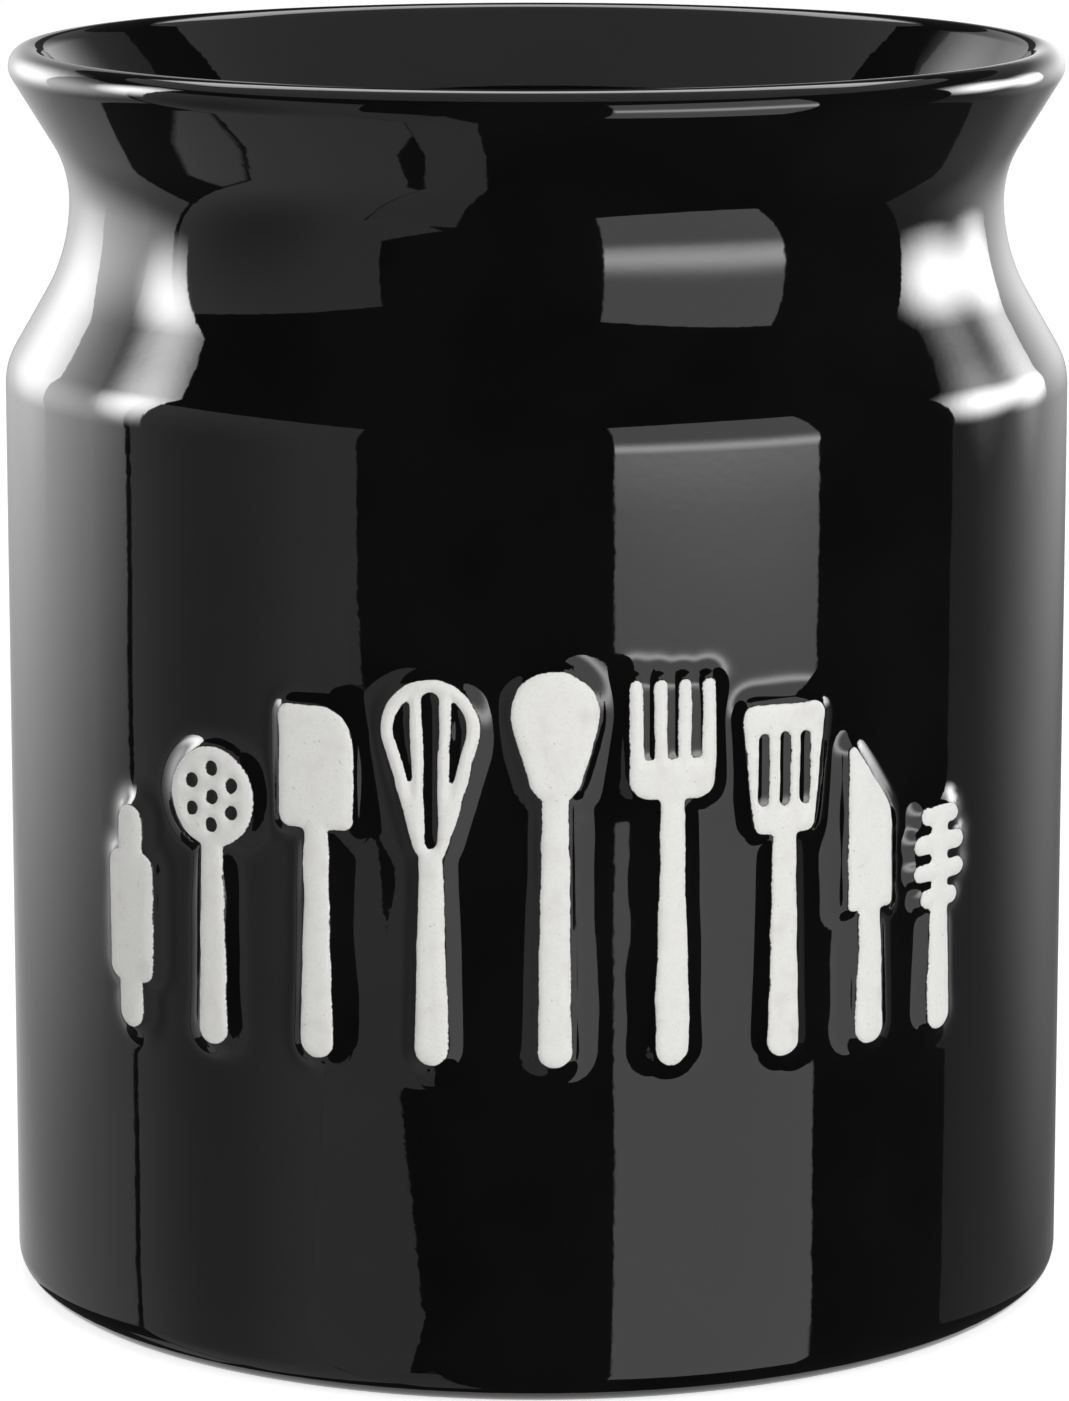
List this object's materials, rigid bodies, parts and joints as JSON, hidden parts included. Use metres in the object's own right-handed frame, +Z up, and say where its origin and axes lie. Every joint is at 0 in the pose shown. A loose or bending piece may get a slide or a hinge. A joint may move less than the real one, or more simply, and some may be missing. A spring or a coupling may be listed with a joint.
{
  "type": "utensil crock",
  "caption": "Black glazed stoneware utensil crock with a straight wall, waisted neck, flared round lip and a row of raised bare-clay kitchen-tool motifs on the front.",
  "frame": {"origin": "centre of the foot ring, on the surface that the crock stands on", "axes": "+Z up along the crock's axis, the row of motifs faces -Y, +X to the right as the motifs are seen"},
  "size_m": [0.154, 0.1557, 0.181],
  "materials": {
    "stoneware": "matte bare clay, finely speckled",
    "black_glaze": "high gloss glaze"
  },
  "bodies": {
    "root": {"crock_body": "stoneware", "glaze_coat": "black_glaze", "base_glaze": "black_glaze", "relief_rolling_pin": "stoneware", "relief_skimmer": "stoneware", "relief_scraper": "stoneware", "relief_whisk": "stoneware", "relief_spoon": "stoneware", "relief_fork": "stoneware", "relief_turner": "stoneware", "relief_knife": "stoneware", "relief_dipper": "stoneware"}
  },
  "joints": []
}
